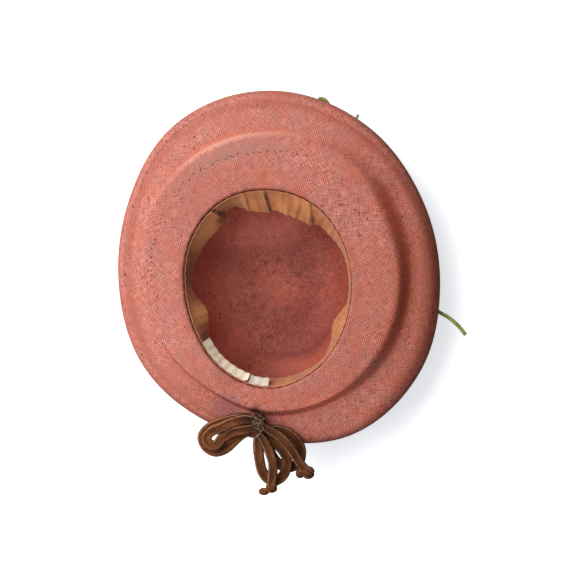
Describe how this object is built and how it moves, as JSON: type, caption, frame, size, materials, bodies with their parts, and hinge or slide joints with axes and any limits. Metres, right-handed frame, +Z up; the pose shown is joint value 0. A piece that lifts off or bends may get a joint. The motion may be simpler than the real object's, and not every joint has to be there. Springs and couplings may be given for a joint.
{
  "type": "picture hat",
  "caption": "Wide-brimmed straw picture hat lying on its crown, with a stepped and rolled brim, a folded ribbon sweatband, a velvet tubing bow and stems past the edge.",
  "frame": {"origin": "middle of the crown's flat tip, on which the hat lies upside down", "axes": "+Z up, out of the head opening; +Y to the hat's front, where the brim is widest; +X to the right seen from the open side"},
  "size_m": [0.3509, 0.3999, 0.0927],
  "materials": {
    "straw": "fine woven straw, dusty rose",
    "ribbon": "ribbed tan ribbon",
    "label_cloth": "plain cream woven label",
    "tag_cloth": "plain white woven tag",
    "velvet": "brown velvet tubing",
    "stem_wrap": "green paper-wrapped stem"
  },
  "bodies": {
    "root": {"crown": "straw", "brim": "straw", "sweatband": "ribbon", "label": "label_cloth", "size_tag": "tag_cloth", "bow_knot": "velvet", "bow_loop_left_front": "velvet", "bow_loop_left_back": "velvet", "bow_loop_down": "velvet", "bow_loop_right": "velvet", "bow_tail_middle": "velvet", "bow_tail_right": "velvet", "stem_tie": "stem_wrap", "stem_right": "stem_wrap", "stem_top": "stem_wrap", "stem_top_small": "stem_wrap"}
  },
  "joints": []
}
